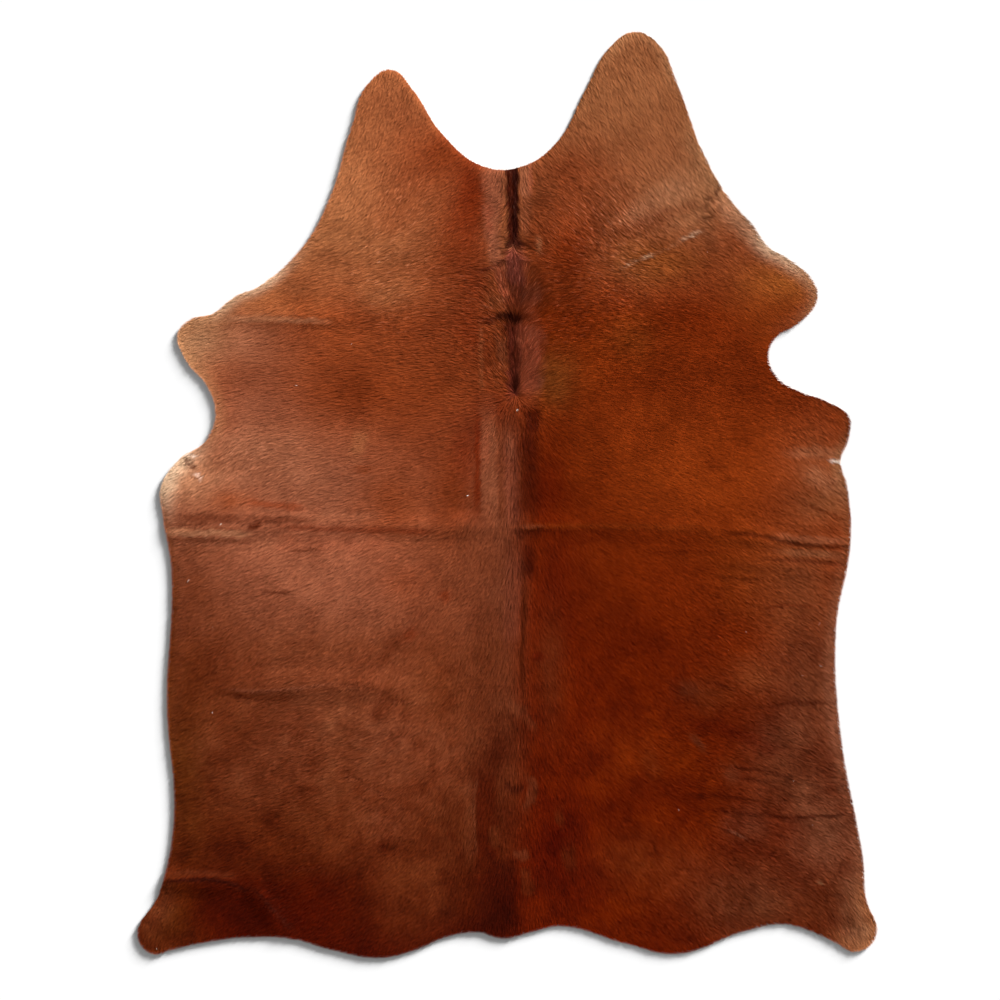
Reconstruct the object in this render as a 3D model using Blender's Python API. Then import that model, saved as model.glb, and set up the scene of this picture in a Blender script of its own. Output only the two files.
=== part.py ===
"""A cowhide rug: one trimmed hide with its hair on, lying flat on the floor with the hair side up.

World axes, in metres: +Z is up, +Y runs up the spine from the rump to the neck, and +X is to the right
of someone who looks down on the hair. The origin is on the floor under the middle of the hide's box.
"""

from math import cos, pi
from typing import NamedTuple

import bmesh
import bpy
from mathutils import Vector

CM = 0.01
MM = 0.001

LEATHER = 2.5 * MM  # the tanned skin
LAID_HAIR = 3.0 * MM  # short hair combed flat on the skin, up to its tips
THICKNESS = LEATHER + LAID_HAIR

EDGE_STEPS = 6  # straight steps between two points of the trimmed edge
GRID_PITCH = 8 * CM  # the net of cuts that lets the sheet bend
SCORES = (-1, -0.5, 0, 0.5, 1)  # cuts beside a crease, in its half widths
SNAP = 3 * MM  # a cut this near a corner goes through the corner

# The trimmed edge, in cm from the middle of the hide, clockwise from the right side of the neck. The hide
# is cut off at the neck, at the stumps of the four legs and along the rump.
EDGE = (
    ("right neck flap", (
        (25.0, 107.0), (30.5, 110.0), (36.0, 107.0), (40.0, 98.5), (47.0, 80.0), (53.5, 69.0),
    )),
    ("right foreleg, front lobe", (
        (58.0, 64.0), (61.5, 59.0), (66.5, 56.0), (72.5, 50.5), (73.5, 46.0), (69.5, 41.0),
    )),
    ("right foreleg, notch", (
        (64.0, 37.5), (62.0, 33.0), (64.0, 27.5),
    )),
    ("right foreleg, rear lobe", (
        (69.0, 24.5), (76.0, 22.0), (81.0, 18.5), (81.0, 13.0), (79.0, 7.5),
    )),
    ("right flank", (
        (80.5, 2.0), (81.5, -11.0), (78.0, -32.0), (79.0, -57.0), (83.0, -79.0), (84.5, -87.5),
        (85.0, -95.5),
    )),
    ("right hind leg", (
        (87.5, -105.0), (83.5, -108.5), (76.5, -105.5),
    )),
    ("rump", (
        (66.0, -102.0), (57.0, -103.5), (40.5, -109.0), (28.0, -106.5), (13.0, -102.5), (5.5, -104.0),
        (-1.0, -105.5), (-7.0, -104.0), (-14.5, -105.0), (-21.5, -108.0), (-30.5, -110.0), (-42.0, -108.0),
        (-51.0, -105.5), (-60.0, -105.0), (-73.0, -106.5),
    )),
    ("left hind leg", (
        (-79.5, -108.0), (-84.5, -109.0), (-87.5, -105.0), (-82.5, -95.0),
    )),
    ("left flank", (
        (-79.0, -79.0), (-80.5, -50.0), (-79.5, -18.0), (-81.5, -5.5),
    )),
    ("left foreleg, rear lobe", (
        (-82.0, 1.0), (-77.5, 8.5), (-71.0, 13.0),
    )),
    ("left foreleg, notch", (
        (-69.0, 18.5), (-71.0, 25.5),
    )),
    ("left foreleg, front lobe", (
        (-76.5, 32.5), (-78.0, 38.0), (-75.0, 41.5), (-69.5, 43.0), (-63.5, 47.5), (-59.5, 49.0),
    )),
    ("left neck flap", (
        (-48.0, 59.0), (-42.0, 70.0), (-36.5, 88.0), (-33.0, 97.5), (-27.5, 101.0), (-22.5, 96.5),
    )),
    ("neck notch", (
        (-15.5, 86.0), (-5.5, 78.0), (3.5, 78.0), (12.0, 84.0), (18.5, 96.0),
    )),
)


class Crease(NamedTuple):
    """A low soft fold along a line from start to end, in cm, as the hide kept it from being packed."""

    name: str
    start: tuple
    end: tuple
    half_width: float  # cm, from the crest to where the sheet is flat again
    height: float  # mm, at the crest


# Along these the whole sheet stands off the floor.
CREASES = (
    Crease("cross fold, left half", (-84.0, -8.5), (-1.0, -7.5), 3.5, 5.0),
    Crease("cross fold, right half", (3.0, -7.5), (56.0, -8.5), 3.0, 4.0),
    Crease("wrinkle at the right edge", (48.0, -9.0), (85.0, -13.0), 2.5, 5.0),
    Crease("wrinkle behind it", (50.0, -15.0), (85.0, -18.5), 2.5, 4.0),
    Crease("left flank ripple", (-70.0, -45.0), (-22.0, -46.0), 4.0, 3.5),
    Crease("left thigh crease", (-86.0, -91.5), (-62.0, -93.5), 3.0, 5.0),
    Crease("left thigh crease, its branch", (-63.0, -91.0), (-51.0, -106.0), 3.0, 4.0),
    Crease("right flank ripple", (62.0, -76.0), (88.0, -77.0), 3.0, 3.5),
    Crease("left shoulder fold", (-68.0, 42.5), (-36.0, 42.0), 3.0, 3.0),
    Crease("right neck pucker", (49.0, 79.0), (50.0, 60.0), 2.0, 4.0),
)

# Along these only the hair stands higher, where its two sides meet on the back.
HAIR_RIDGES = (
    Crease("mane on the withers", (2.5, 84.0), (2.5, 8.0), 4.5, 2.0),
    Crease("seam of the back", (3.0, 14.0), (3.5, -60.0), 3.0, 1.0),
)


def clear_scene():
    for item in list(bpy.data.objects):
        bpy.data.objects.remove(item, do_unlink=True)


def leather_material():
    material = bpy.data.materials.new("hair_on_hide")
    material.use_nodes = True
    shader = material.node_tree.nodes["Principled BSDF"]
    shader.inputs["Base Color"].default_value = (0.23, 0.066, 0.026, 1.0)
    shader.inputs["Roughness"].default_value = 0.6
    shader.inputs["Metallic"].default_value = 0.0
    return material


def edge_curve():
    """The closed outline of the trimmed hide: a smooth curve through the points of EDGE."""
    points = [point for _, stretch in EDGE for point in stretch]
    curve = bpy.data.curves.new("hide_edge", "CURVE")
    curve.dimensions = "2D"
    curve.fill_mode = "BOTH"
    curve.resolution_u = EDGE_STEPS
    spline = curve.splines.new("BEZIER")
    spline.use_cyclic_u = True
    spline.bezier_points.add(len(points) - 1)
    for knot, (across, along) in zip(spline.bezier_points, points):
        knot.co = (across * CM, along * CM, 0.0)
        knot.handle_left_type = "AUTO"
        knot.handle_right_type = "AUTO"
    return bpy.data.objects.new("hide_edge", curve)


def flat_sheet(collection):
    """The area inside the edge as one flat face, with the middle of its box at the origin."""
    outline = edge_curve()
    collection.objects.link(outline)
    bpy.context.view_layer.update()
    depsgraph = bpy.context.evaluated_depsgraph_get()
    filled = bpy.data.meshes.new_from_object(outline.evaluated_get(depsgraph))
    bpy.data.objects.remove(outline, do_unlink=True)

    sheet = bmesh.new()
    sheet.from_mesh(filled)
    bpy.data.meshes.remove(filled)
    bmesh.ops.remove_doubles(sheet, verts=sheet.verts, dist=0.01 * MM)
    bmesh.ops.dissolve_faces(sheet, faces=sheet.faces, use_verts=False)
    sheet.normal_update()
    facing_down = [face for face in sheet.faces if face.normal.z < 0]
    bmesh.ops.reverse_faces(sheet, faces=facing_down)

    across = [vert.co.x for vert in sheet.verts]
    along = [vert.co.y for vert in sheet.verts]
    middle = Vector((min(across) + max(across), min(along) + max(along), 0.0)) / 2
    bmesh.ops.translate(sheet, verts=sheet.verts, vec=-middle)
    return sheet


def cut(sheet, faces, point, normal):
    """Cuts the given faces along the upright plane through point, and keeps both sides."""
    edges = {edge for face in faces for edge in face.edges}
    verts = {vert for face in faces for vert in face.verts}
    bmesh.ops.bisect_plane(
        sheet, geom=[*faces, *edges, *verts], dist=SNAP, plane_co=point, plane_no=normal,
    )


def cut_net(sheet):
    """Cuts the sheet into a net of squares."""
    reach = Vector((max(vert.co.x for vert in sheet.verts), max(vert.co.y for vert in sheet.verts)))
    for axis, normal in enumerate((Vector((1, 0, 0)), Vector((0, 1, 0)))):
        lines = int(reach[axis] / GRID_PITCH)
        for step in range(-lines, lines + 1):
            cut(sheet, list(sheet.faces), normal * step * GRID_PITCH, normal)


def crease_frame(crease):
    """A crease's start, its direction, the direction across it, and its length."""
    start = Vector((*crease.start, 0.0)) * CM
    run = Vector((*crease.end, 0.0)) * CM - start
    forward = run.normalized()
    return start, forward, Vector((-forward.y, forward.x, 0.0)), run.length


def score(sheet, crease):
    """Cuts the squares near a crease along its crest and its flanks, so that it can bend there."""
    start, forward, sideways, length = crease_frame(crease)
    half_width = crease.half_width * CM
    reach = half_width + GRID_PITCH / 2
    for share in SCORES:
        near = []
        for face in sheet.faces:
            place = face.calc_center_median() - start
            if abs(place.dot(sideways)) < reach and -GRID_PITCH < place.dot(forward) < length + GRID_PITCH:
                near.append(face)
        if near:
            cut(sheet, near, start + sideways * share * half_width, sideways)


def height_at(place, creases):
    """How high a set of creases raises one place: a cosine bump across each, let down at its ends."""
    height = 0.0
    for crease in creases:
        start, forward, sideways, length = crease_frame(crease)
        half_width = crease.half_width * CM
        away = abs((place - start).dot(sideways)) / half_width
        from_end = min((place - start).dot(forward), length - (place - start).dot(forward))
        run_out = min(max(from_end / (2 * half_width), 0.0), 1.0)
        if away < 1:
            height = max(height, crease.height * MM * (1 + cos(pi * away)) / 2 * (1 - cos(pi * run_out)) / 2)
    return height


def hide(collection):
    """The hide: the sheet with its creases, skin and laid hair together."""
    sheet = flat_sheet(collection)
    cut_net(sheet)
    for crease in CREASES + HAIR_RIDGES:
        score(sheet, crease)
    bmesh.ops.triangulate(sheet, faces=sheet.faces)

    underside = list(sheet.verts)
    raised = bmesh.ops.extrude_face_region(sheet, geom=sheet.faces, use_keep_orig=True)
    top = [item for item in raised["geom"] if isinstance(item, bmesh.types.BMVert)]
    for vert in top:
        hair = LAID_HAIR + height_at(vert.co, HAIR_RIDGES)
        vert.co.z = height_at(vert.co, CREASES) + LEATHER + hair
    for vert in underside:
        vert.co.z = height_at(vert.co, CREASES)
    bmesh.ops.recalc_face_normals(sheet, faces=sheet.faces)

    mesh = bpy.data.meshes.new("hide")
    sheet.to_mesh(mesh)
    sheet.free()
    mesh.shade_smooth()
    mesh.materials.append(leather_material())
    collection.objects.link(bpy.data.objects.new("hide", mesh))


def main():
    clear_scene()
    rug = bpy.data.collections.new("cowhide_rug")
    bpy.context.scene.collection.children.link(rug)
    hide(rug)


main()
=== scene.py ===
"""A cowhide rug lying hair side up: the skin as one thin sheet, and its short coat as combed locks of hair.

Sizes are in metres. The tables are in centimetres from the middle of the hide, as a tanner would mark
them on it: +x to the right, +y up the spine from the rump to the neck.
"""

from collections import namedtuple
from math import cos, radians, sin

import bpy
import numpy as np
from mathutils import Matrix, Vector
from mathutils.bvhtree import BVHTree


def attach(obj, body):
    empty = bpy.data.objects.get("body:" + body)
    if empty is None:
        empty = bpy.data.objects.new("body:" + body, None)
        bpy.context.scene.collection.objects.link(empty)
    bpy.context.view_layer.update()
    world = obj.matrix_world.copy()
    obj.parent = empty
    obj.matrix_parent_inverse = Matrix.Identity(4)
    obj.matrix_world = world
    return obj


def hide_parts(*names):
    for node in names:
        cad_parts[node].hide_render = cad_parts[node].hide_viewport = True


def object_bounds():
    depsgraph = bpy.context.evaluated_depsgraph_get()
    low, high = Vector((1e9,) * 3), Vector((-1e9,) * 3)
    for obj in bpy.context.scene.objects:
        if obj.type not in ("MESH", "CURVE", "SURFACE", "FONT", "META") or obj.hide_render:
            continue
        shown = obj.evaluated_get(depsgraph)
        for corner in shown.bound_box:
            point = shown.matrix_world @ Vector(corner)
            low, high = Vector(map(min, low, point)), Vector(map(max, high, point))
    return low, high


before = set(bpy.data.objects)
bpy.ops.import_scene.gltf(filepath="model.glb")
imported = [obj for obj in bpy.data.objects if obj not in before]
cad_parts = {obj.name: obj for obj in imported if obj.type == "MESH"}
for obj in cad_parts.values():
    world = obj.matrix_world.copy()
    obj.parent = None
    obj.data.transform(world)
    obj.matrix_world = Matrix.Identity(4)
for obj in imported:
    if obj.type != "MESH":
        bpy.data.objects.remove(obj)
CAD_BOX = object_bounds()
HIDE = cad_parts["hide"]

CM = 0.01
MM = 0.001

LEATHER = 2.5 * MM  # the tanned skin
LAID_HAIR = 3.0 * MM  # the CAD solid holds the skin and this much of the coat
MAP_PITCH = 5 * MM  # pitch of the maps of height and of distance to the edge
MAP_MARGIN = 4 * MAP_PITCH
MAP_BLUR = 8 * MM  # rounds off the CAD solid's flat facets
SKIN_PITCH = 12 * MM
SKIN_INSET = 2.2 * MM  # the hair hides the cut edge by this much
SKIN_WAVES = 0.5 * MM  # height of the skin's slow unevenness
SKIN_WAVE_SIZE = 14 * CM
FLOOR_GAP = 0.05 * MM  # the flesh side stays this far off the floor
SPINE_OFFSET = 2.2  # how far the spine runs right of the hide's middle, in centimetres
SPINE_LEAN = 1.4  # how much farther at the rump, and less at the neck
HALF_HIDE = 1.1  # half the hide's length

HAIR_PITCH = 1.92 * MM
HAIR_LENGTH = 16 * MM
HAIR_WIDTH = 1.35 * MM
HAIR_LIFT = 2.8 * MM  # how high the tips stand over the skin
LENGTHS = (0.7, 1.2)  # the range of single hairs, as shares of the usual length, and so on
LIFTS = (0.55, 1.3)
WIDTHS = (0.75, 1.25)
ROLLS = (radians(3), radians(11))  # how far they roll: everywhere, and more where single hairs show
TONES = (0.04, 0.2)  # how much their tones differ: likewise
STRAY = radians(5)  # how far single hairs stray from the combing
RUFFLE = radians(9)  # how far whole patches of hair stray from it
RUFFLE_SIZE = 5 * CM
FINE_RUFFLE = radians(6)
FINE_RUFFLE_SIZE = 1.2 * CM
ROOT_SHAKE = 0.6  # how far the roots stray from an even grid, in pitches
ROOT_DEPTH = 0.1 * MM  # how deep the roots are set in the skin
ROOT_MARGIN = 0.2 * MM  # the outermost roots are this far inside the hide's edge
OVERHANG = 4 * MM  # how far tips may pass the edge
LEAST_KEPT = 0.25  # share of its length that a hair keeps when it is shortened for that
LOCK_SIZE = 6 * MM
LOCK_PULL = 0.4  # how far the tips lean towards the middle of their lock

BEND = 1.2 * CM  # how far the patches of colour are bent out of shape
BEND_SIZE = 4 * CM
WANDER = (1 * MM, 5 * MM)  # the least and the most that a line of places strays
WANDER_SHARE = 0.4  # between them it strays by this share of its half width
WANDER_SIZE = 1.3 * CM
LINE_REACH = 2.6  # in half widths: farther off a line no longer counts
LINE_END = 0.3  # how much of a line is left at its very ends, before smoothing
SPINE_BLEND = 5  # the two sides pass into each other this far from the spine, in centimetres
REAR_START = 20  # the coat gets more blotchy from here behind the middle, in centimetres
REAR_REACH = 50  # over this distance
CLOUD_SIZE = 7 * CM
BLOTCH_SIZE = 2.2 * CM
BRIGHTNESS = (0.25, 3.0)  # the least and the most that the mottling makes of a colour
SHEEN = (0, 0.5, 0.8)  # painted sheen: a lighter place gains these shares of its red, green and blue
GLINT = (2.6, 1.7, 1.1)  # a painted glint on a single hair gains these shares of the coat's lightness
LIGHTNESS = (0.3, 0.6, 0.1)  # how much red, green and blue count in that
STREAKS = (0.26 * CM, 1.3 * CM)  # marks in the coat: their size across and their length along the hair
FINE_STREAKS = (0.19 * CM, 0.55 * CM)
TUFTS = (0.9 * CM, 2.6 * CM)
SELF_SHADE = 1.35  # hairs shade each other, so their own colour is lighter than the coat's look
# painted shade: each hair is darker at its root, under the hairs over it, than at its tip
ROOT_SHADE = 0.82
TIP_TONE = 1.1
FINE_LINE = 0.6  # the coat is shorter over strokes with a half width up to this, in centimetres
SHORTER = 0.3  # by this share of its length

KEY_AZIMUTH = radians(48)  # where the key light stands, turned from +x towards +y
KEY_ELEVATION = radians(11)
KEY_ANGLE = radians(13)  # its breadth as seen from the hide, which softens the shadow
KEY_STRENGTH = 14.2
SURROUND_STRENGTH = 0.25
LIT_RIM = 5 * MM  # the coat is darker in this reach of the edges that face the key, which lights them fully
RIM_SHADE = 0.35

FLOOR_SIZE = 14.0
LENS = 85
SENSOR = 36
FRAME_SHARE = 0.925  # the hide's length fills this share of the frame
FRAME_SHIFT = (-0.0074, -0.0061)  # from the hide's middle to the frame's, in frame widths

rng = np.random.default_rng(7)


# ---- tables

def table(columns, rows, defaults=()):
    """Rows with named columns. The last columns have default values, and a row may leave them out."""
    kind = namedtuple("Row", columns, defaults=defaults)
    return [kind(*row) for row in rows]


# The colours laid on the coat, in 8-bit sRGB: mostly the hair's own, though some also paint light and shade.
# The pinks (dusty, rose, mauve, heather, blush, shell) also paint the hair's sheen, the palest also paint
# light on lips and ridges, and the darkest (umber, soot, bole) also paint shade in creases and folds.
TINTS = {
    "lint": (235, 220, 205), "cream": (216, 182, 148), "oat": (182, 124, 88), "fawn": (176, 122, 82),
    "buff": (160, 112, 78), "ochre": (162, 86, 34), "sand": (156, 94, 56), "ginger": (150, 84, 48),
    "tan": (142, 72, 38), "copper": (134, 60, 26), "chestnut": (118, 47, 16), "amber": (148, 64, 18),
    "russet": (148, 57, 12), "rust": (135, 48, 9), "brick": (118, 36, 3), "henna": (101, 25, 0),
    "oxblood": (90, 17, 0), "maroon": (78, 9, 0), "bole": (74, 22, 4), "umber": (60, 7, 0),
    "soot": (36, 3, 1), "dusty": (150, 90, 62), "rose": (142, 79, 53), "mauve": (127, 70, 45),
    "cocoa": (108, 51, 27), "hazel": (98, 42, 18), "sienna": (106, 36, 9), "walnut": (88, 34, 12),
    "olive": (78, 31, 5), "plum": (124, 57, 44), "raisin": (103, 39, 27), "heather": (116, 55, 36),
    "blush": (166, 82, 54), "shell": (180, 96, 64),
}

# The coat's ground colour on both sides of the spine, at heights up the hide.
# The left side's lighter, pinker grounds are partly painted sheen and the right side's darker ones partly
# painted shade, as the hair lies towards the key or away from it.
GROUNDS = table("name y left right", (
    ("edge of the rump", -104, "umber", "henna"),
    ("rump", -92, "umber", "henna"),
    ("haunches", -78, "walnut", "henna"),
    ("thighs", -60, "cocoa", "henna"),
    ("loin", -36, "cocoa", "henna"),
    ("flanks", -18, "rose", "brick"),
    ("ribs", 4, "rose", "russet"),
    ("arms", 24, "copper", "rust"),
    ("shoulders", 42, "copper", "rust"),
    ("neck", 62, "sand", "tan"),
    ("neck flaps", 94, "ginger", "sand"),
))

# Soft patches of colour on the ground. Those named lit are painted light and those named shade painted shade;
# the pink ones on the left half are partly painted sheen.
PATCHES = table("name x y reach_x reach_y tint strength", (
    # the left half, from the neck down
    ("side of the neck", -24, 76, 8, 14, "tan", 0.7),
    ("side of the neck, tan spot", -28, 65, 6, 5, "tan", 0.5),
    ("by the crest", -12, 58, 10, 22, "chestnut", 0.95),
    ("by the crest, top", -15, 81, 10, 9, "chestnut", 0.95),
    ("by the crest, its shade", -8, 72, 5, 10, "henna", 0.85),
    ("by the crest, inner", -8, 66, 5, 12, "brick", 0.5),
    ("shoulder, point", -58, 46, 10, 4, "sand", 0.95),
    ("foreleg", -62, 36, 10, 7, "dusty", 0.8),
    ("foreleg, tip", -75, 37, 8, 7, "buff", 0.95),
    ("shoulder, light spot", -29, 47, 6, 4, "sand", 0.5),
    ("arm", -60, 20, 13, 11, "rose", 0.9),
    ("forearm", -62, 10, 14, 6, "dusty", 0.95),
    ("shoulder, its dark middle", -34, 24, 13, 9, "chestnut", 0.8),
    ("ribs", -56, 4, 16, 8, "dusty", 0.5),
    ("elbow", -76, 4, 7, 6, "oat", 0.9),
    ("by the fold", -66, -1.5, 6, 3, "copper", 0.7),
    ("by the withers", -12, 30, 9, 16, "chestnut", 0.5),
    ("by the mane", -9, 39, 4, 8, "henna", 0.5),
    ("by the back", -13, 0, 9, 22, "chestnut", 0.95),
    ("by the back, upper", -23, 18, 9, 11, "chestnut", 0.6),
    ("by the back, by its band", -9, 9, 3.5, 10, "henna", 0.8),
    ("by the back, its warm side", -27, -2, 9, 11, "copper", 0.8),
    ("side of the spine", -4, -2, 6, 22, "cocoa", 0.85),
    ("by the whorl", -3, 21, 5, 5, "henna", 0.6),
    ("below the whorl", 1, 17.5, 3.5, 4, "umber", 0.45),
    ("by the seam", -4, -34, 6, 16, "walnut", 0.55),
    ("by the seam, low", -4, -68, 7, 22, "bole", 0.7),
    ("by the crest, low", -6.5, 50, 4.5, 7, "sienna", 0.75),
    ("by the mane, low", -4.5, 33, 3, 7, "sienna", 0.4),
    ("by the spine, below the fold", -6.5, -16, 6, 5, "hazel", 0.6),
    ("spine below the cross fold", 1, -12, 3, 6, "bole", 0.5),
    ("spine, lower", -2, -58, 7, 26, "umber", 0.25),
    ("flank, outer spot", -66, -30, 6, 5, "walnut", 0.4),
    ("flank, inner", -14, -22, 11, 14, "cocoa", 0.9),
    ("flank, inner shade", -26, -21, 7, 5, "chestnut", 0.6),
    ("flank, upper edge", -75, -8, 7, 7, "mauve", 0.7),
    ("flank, its light middle", -42, -22, 18, 6, "rose", 0.5),
    ("flank, its edge", -74, -24, 8, 10, "cocoa", 0.9),
    ("flank, its edge, darker", -76, -19, 6, 7, "walnut", 0.45),
    ("loin, outer", -66, -50, 7, 14, "walnut", 0.5),
    ("loin, inner", -16, -46, 9, 12, "hazel", 0.95),
    ("thigh, hazel reach", -38, -74, 8, 10, "hazel", 0.95),
    ("thigh, lit spot", -28, -58, 5, 4, "mauve", 0.4),
    ("thigh, lit spot lower", -28, -78, 5, 4, "mauve", 0.3),
    ("thigh, lower shade", -38, -79, 6, 5, "bole", 0.5),
    ("thigh, outer shade", -66, -78, 6, 5, "bole", 0.4),
    ("loin, edge", -74, -44, 8, 12, "walnut", 0.9),
    ("thigh, outer", -62, -56, 8, 10, "walnut", 0.5),
    ("thigh, dark spot", -38, -61, 6, 5, "walnut", 0.5),
    ("belly edge", -78, -66, 7, 22, "olive", 0.9),
    ("thigh, its light middle", -28, -66, 12, 14, "cocoa", 0.6),
    ("haunch, dark middle", -56, -84, 14, 8, "bole", 0.6),
    ("by the tail", -22, -92, 10, 12, "walnut", 0.9),
    ("hind leg", -83, -102, 7, 7, "olive", 0.9),
    ("hind leg, its end", -85, -98, 4, 7, "cocoa", 0.75),
    ("haunch, dark spot", -65, -84, 6, 5, "umber", 0.3),
    # the right half, from the neck down
    ("neck flap, its top", 35, 104, 10, 8, "sand", 0.5),
    ("neck edge", 47, 80, 5, 10, "fawn", 0.6),
    ("neck, tan spot", 29, 67, 6, 5, "tan", 0.5),
    ("neck, its pale band", 41, 70, 8, 8, "fawn", 0.5),
    ("shoulder, above the scar", 30, 56, 8, 5, "sand", 0.5),
    ("by the notch", 15, 76, 10, 8, "rust", 0.5),
    ("by the crest", 14, 58, 8, 12, "rust", 0.85),
    ("by the crest, inner", 6.5, 64, 4, 7, "chestnut", 0.6),
    ("shoulder, bright spot", 36, 55, 9, 5, "ochre", 0.7),
    ("shoulder, bright spot below", 29, 37, 6, 5, "amber", 0.95),
    ("shoulder, dark middle", 46, 40, 9, 8, "brick", 0.5),
    ("foreleg, front lobe", 66, 50, 10, 6, "ochre", 0.95),
    ("foreleg, its lower side", 62, 42, 8, 6, "amber", 0.5),
    ("arm, lighter spot", 39, 17, 7, 5, "russet", 0.5),
    ("by the mane", 17, 29, 8, 10, "russet", 0.6),
    ("by the whorl", 10.5, 27, 5, 6, "ochre", 0.95),
    ("elbow", 74, 6, 9, 12, "tan", 0.8),
    ("elbow, below", 76, -2, 7, 4, "sand", 0.6),
    ("by the back, outer", 21, -2, 8, 14, "brick", 0.7),
    ("by the back", 11, 2, 6, 18, "henna", 0.9),
    ("by the back, inner", 8.6, 1, 2.6, 9, "oxblood", 0.75),
    ("by the back, low", 11, -24, 7, 22, "oxblood", 0.9),
    ("ribs, inner", 30, -14, 8, 6, "brick", 0.5),
    ("flank, outer", 61, -19, 11, 13, "amber", 0.65),
    ("flank, its edge", 70, -22, 9, 16, "tan", 0.8),
    ("flank, rear", 50, -36, 10, 8, "brick", 0.8),
    ("flank, pale spot", 60, -43, 7, 5, "copper", 0.7),
    ("flank, inner spot", 48, -48, 6, 4, "chestnut", 0.8),
    ("by the seam", 18, -60, 8, 14, "oxblood", 0.9),
    ("by the seam, inner", 10, -42, 3.5, 14, "hazel", 0.5),
    ("belly edge", 72, -46, 9, 14, "cocoa", 0.9),
    ("thigh", 30, -62, 12, 8, "brick", 0.8),
    ("belly, lower", 67, -58, 6, 5, "mauve", 0.5),
    ("haunch", 68, -68, 11, 14, "cocoa", 0.85),
    ("haunch, dark spot", 66, -79, 5, 4, "henna", 0.9),
    ("haunch, its edge", 76, -80, 8, 12, "mauve", 0.9),
    ("by the tail, outer", 20, -92, 5, 9, "oxblood", 0.8),
    ("rump, lighter", 30, -87, 8, 6, "chestnut", 0.6),
    ("haunch, lit spot", 57, -79, 5, 4, "mauve", 0.35),
    ("rump, red spot", 39, -98, 7, 5, "oxblood", 0.4),
    ("rump, its middle", 42, -90, 12, 8, "sienna", 0.6),
    ("by the tail", 11, -84, 9, 16, "maroon", 0.9),
    ("hind leg, inner", 58, -97, 13, 10, "cocoa", 1),
    ("hind leg", 76, -98, 8, 8, "hazel", 0.7),
    ("hind leg, its end", 85, -101, 5, 9, "buff", 0.6),
))

# Stretches of the trimmed edge where the thin hair has another colour, to a depth from the edge; the left
# hind leg's dark rim is painted shade instead.
RIMS = table("name x y reach_x reach_y depth tint strength", (
    ("left neck flap", -28, 98, 14, 10, 1.5, "ginger", 0.6),
    ("left edge of the neck", -44, 74, 9, 24, 2, "sand", 0.7),
    ("left shoulder", -64, 48, 14, 9, 1.6, "cream", 0.65),
    ("left foreleg", -76, 38, 10, 8, 3, "fawn", 0.8),
    ("left foreleg, notch", -70, 22, 8, 10, 2, "fawn", 0.4),
    ("left elbow", -80, 5, 7, 7, 2.6, "cream", 0.85),
    ("left flank", -81, -20, 6, 26, 1.5, "olive", 0.6),
    # painted shade: the left hind leg's tip is darker
    ("left hind leg", -84, -100, 8, 14, 2, "walnut", 0.6),
    ("right neck flap", 36, 108, 12, 10, 2, "fawn", 0.6),
    ("right edge of the neck", 50, 76, 8, 14, 2, "fawn", 0.6),
    ("right shoulder", 63, 58, 11, 9, 2.2, "cream", 0.8),
    ("right foreleg", 74, 49, 6, 7, 1.4, "fawn", 0.7),
    ("right foreleg, rear lobe", 80, 18, 8, 9, 1.5, "walnut", 0.6),
    ("right elbow", 80, 5, 5, 6, 2, "fawn", 0.7),
    ("right flank", 80, -14, 6, 20, 2, "ginger", 0.5),
    ("right belly", 79, -50, 6, 26, 2.5, "dusty", 0.6),
    ("right haunch", 85, -86, 6, 14, 2.5, "dusty", 0.6),
    ("right hind leg", 86, -102, 7, 9, 2.5, "sand", 0.7),
))
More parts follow.
